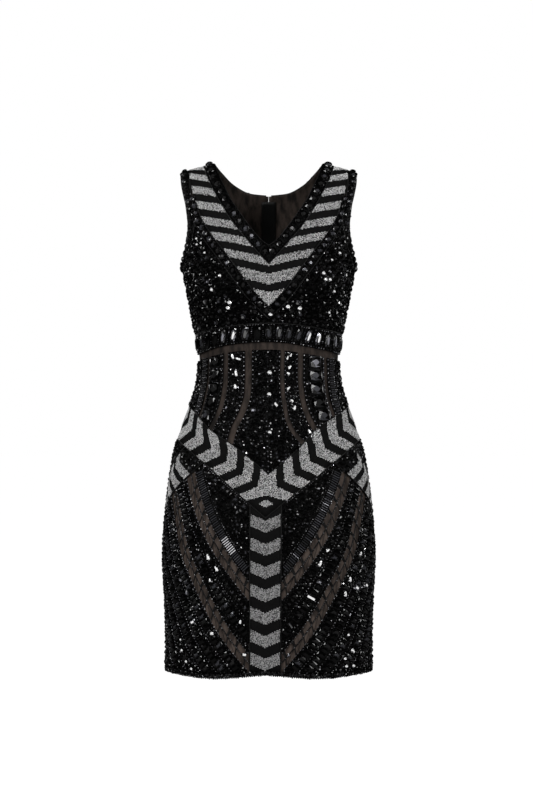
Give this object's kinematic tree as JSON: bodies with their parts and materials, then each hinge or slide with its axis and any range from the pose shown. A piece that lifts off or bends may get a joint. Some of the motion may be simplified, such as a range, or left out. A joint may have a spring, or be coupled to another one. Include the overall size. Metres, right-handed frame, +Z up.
{
  "type": "bandage dress",
  "caption": "Sleeveless V-neck beaded sheath mini dress in its hollow worn shape, with silver chevron bands, bare mesh strips and a zip at the back.",
  "frame": {"origin": "midway between the neck ends of the two shoulder seams, where the wearer's shoulders hold the dress up", "axes": "+Z up to the shoulders, -Y out of the chest (the front), +X towards the wearer's left arm"},
  "size_m": [0.3528, 0.2446, 0.845],
  "materials": {
    "base_mesh": "matte stretch mesh",
    "black_beadwork": "glossy beads and cut stones on mesh",
    "silver_beadwork": "silver and black seed beads on mesh",
    "black_binding": "matte woven tape",
    "zip_metal": "black plated"
  },
  "bodies": {
    "dress": {"armhole_trim_left": "black_beadwork", "armhole_trim_right": "black_beadwork", "back_bodice_left": "black_beadwork", "back_bodice_right": "black_beadwork", "back_left": "base_mesh", "back_midriff_left": "black_beadwork", "back_midriff_right": "black_beadwork", "back_right": "base_mesh", "back_skirt_left": "black_beadwork", "back_skirt_right": "black_beadwork", "bib_border": "black_beadwork", "bust_panel_left": "black_beadwork", "bust_panel_right": "black_beadwork", "centre_column": "silver_beadwork", "chevron_bib": "silver_beadwork", "empire_band_back_left": "black_beadwork", "empire_band_back_right": "black_beadwork", "empire_band_front": "black_beadwork", "front": "base_mesh", "hem_binding_back_left": "black_binding", "hem_binding_back_right": "black_binding", "hem_binding_front": "black_binding", "hip_band_back_left": "silver_beadwork", "hip_band_back_right": "silver_beadwork", "hip_band_front": "silver_beadwork", "hip_gusset_left": "black_beadwork", "hip_gusset_right": "black_beadwork", "midriff_centre": "black_beadwork", "midriff_inner_left": "black_beadwork", "midriff_inner_right": "black_beadwork", "midriff_outer_left": "black_beadwork", "midriff_outer_right": "black_beadwork", "midriff_side_left": "black_beadwork", "midriff_side_right": "black_beadwork", "neck_trim": "black_beadwork", "side_band_left": "silver_beadwork", "side_band_right": "silver_beadwork", "skirt_lower_left": "black_beadwork", "skirt_lower_right": "black_beadwork", "skirt_middle_left": "black_beadwork", "skirt_middle_right": "black_beadwork", "skirt_upper_left": "black_beadwork", "skirt_upper_right": "black_beadwork", "zip_slider": "zip_metal", "zip_tape": "black_binding"},
    "pull_tab": {"zip_pull_tab": "zip_metal"}
  },
  "joints": [
    {"name": "pull_tab_hinge", "type": "hinge", "parent": "dress", "child": "pull_tab", "pos_m": [0, 0.08553, -0.07999], "axis": [1, 0, 0], "range_deg": [0, 140]}
  ]
}
